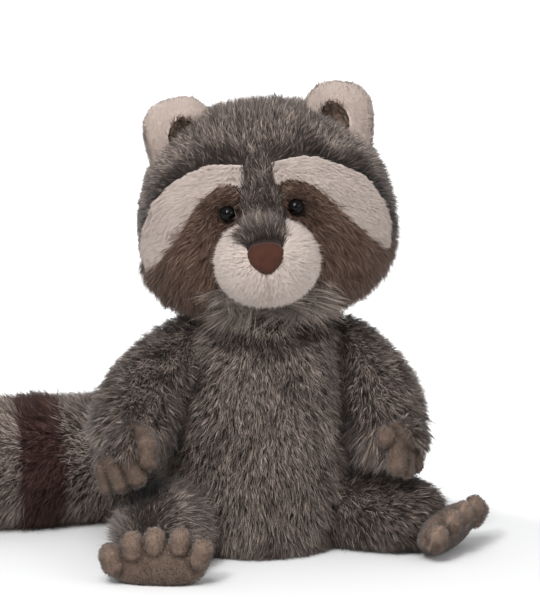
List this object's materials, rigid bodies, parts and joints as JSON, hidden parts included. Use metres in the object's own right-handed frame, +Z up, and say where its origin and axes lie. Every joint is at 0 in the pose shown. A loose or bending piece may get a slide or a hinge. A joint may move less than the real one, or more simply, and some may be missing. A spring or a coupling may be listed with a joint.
{
  "type": "plush raccoon",
  "caption": "Sitting plush raccoon in long grey pile with a masked face, round pale muzzle, short-nap hands and feet, and a thick ringed tail laid to one side; a soft toy that sits by itself.",
  "frame": {"origin": "on the flat seat, under the middle of the head", "axes": "+Z up; the raccoon faces -Y; +X is its own left, the right side as it is looked at"},
  "size_m": [0.3791, 0.2381, 0.2951],
  "materials": {
    "grey_pile": "long heathered grey faux fur, dark at the roots and beige at the tips",
    "brown_pile": "long brown faux fur",
    "cream_pile": "short dense cream faux fur",
    "dark_pile": "short dark brown faux fur",
    "short_nap": "short brown nap",
    "nose_velour": "flat reddish-brown velour",
    "black_plastic": "polished moulded plastic",
    "white_plastic": "plain moulded plastic",
    "filling": "white polyester fibre"
  },
  "bodies": {
    "root": {"crown_panel": "grey_pile", "chin_panel": "grey_pile", "muzzle_bridge": "grey_pile", "torso": "grey_pile", "arm_left": "grey_pile", "arm_right": "grey_pile", "leg_left": "grey_pile", "leg_right": "grey_pile", "tail_root": "grey_pile", "tail_middle": "grey_pile", "mask_left": "brown_pile", "mask_right": "brown_pile", "tail_ring": "brown_pile", "tail_tip": "brown_pile", "brow_left": "cream_pile", "brow_right": "cream_pile", "muzzle": "cream_pile", "ear_left": "cream_pile", "ear_right": "cream_pile", "ear_lining_left": "dark_pile", "ear_lining_right": "dark_pile", "hand_left": "short_nap", "hand_right": "short_nap", "foot_left": "short_nap", "foot_right": "short_nap", "nose": "nose_velour", "eye_left": "black_plastic", "eye_right": "black_plastic", "eye_washer_left": "white_plastic", "eye_washer_right": "white_plastic", "head_filling": "filling", "tail_filling": "filling"}
  },
  "joints": []
}
